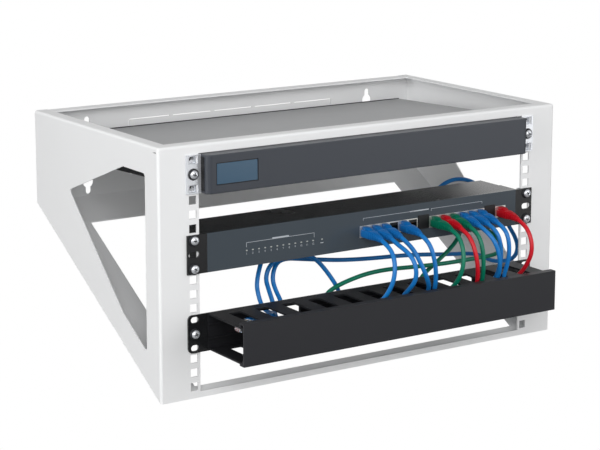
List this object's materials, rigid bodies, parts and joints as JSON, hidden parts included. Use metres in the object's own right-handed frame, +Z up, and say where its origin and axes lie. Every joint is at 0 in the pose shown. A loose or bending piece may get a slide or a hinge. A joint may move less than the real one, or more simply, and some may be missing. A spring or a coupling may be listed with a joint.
{
  "type": "wall mount rack",
  "caption": "Open wall-mounted equipment rack of bent sheet steel with sloped underside, holding a router, a network hub and a cable manager with patch leads.",
  "frame": {"origin": "centre of the wall plate's flat outer face, which bears on the wall", "axes": "+X to the right seen from the front, +Y into the wall, +Z up"},
  "size_m": [0.55, 0.3826, 0.284],
  "materials": {
    "powder_coat": "light grey fine-textured powder coat",
    "black_steel": "black satin paint",
    "grey_steel": "mid grey satin paint",
    "blue_grey_plastic": "dark blue grey, slightly glossy",
    "badge": "plain blue plate, bare",
    "zinc": "bright zinc plated",
    "port_metal": "pale metal shield round the ports",
    "black_plastic": "near black, matt",
    "blue_cable": "blue jacket",
    "green_cable": "green jacket",
    "red_cable": "red jacket"
  },
  "bodies": {
    "root": {"front_frame": "powder_coat", "left_side_panel": "powder_coat", "right_side_panel": "powder_coat", "back_panel": "powder_coat", "router_case": "black_steel", "router_cover": "grey_steel", "router_bezel": "blue_grey_plastic", "router_badge": "badge", "router_left_ear": "zinc", "router_right_ear": "zinc", "hub_case": "black_steel", "hub_face": "blue_grey_plastic", "hub_left_ports": "port_metal", "hub_right_ports": "port_metal", "hub_uplink_port": "port_metal", "hub_port_fillers": "black_plastic", "hub_left_ear": "black_steel", "hub_right_ear": "black_steel", "manager_plate": "black_steel", "manager_duct": "black_plastic", "manager_cover": "black_plastic", "cage_nuts": "zinc", "cup_washers": "black_plastic", "screws": "zinc", "lead_1": "blue_cable", "lead_2": "blue_cable", "lead_3": "blue_cable", "lead_4": "blue_cable", "lead_5": "green_cable", "lead_6": "red_cable", "lead_7": "green_cable", "lead_8": "blue_cable", "lead_9": "blue_cable", "lead_10": "blue_cable", "lead_11": "red_cable", "lead_12": "blue_cable", "lead_13": "blue_cable", "lead_14": "green_cable", "blue_plugs": "blue_cable", "green_plugs": "green_cable", "red_plugs": "red_cable"}
  },
  "joints": []
}
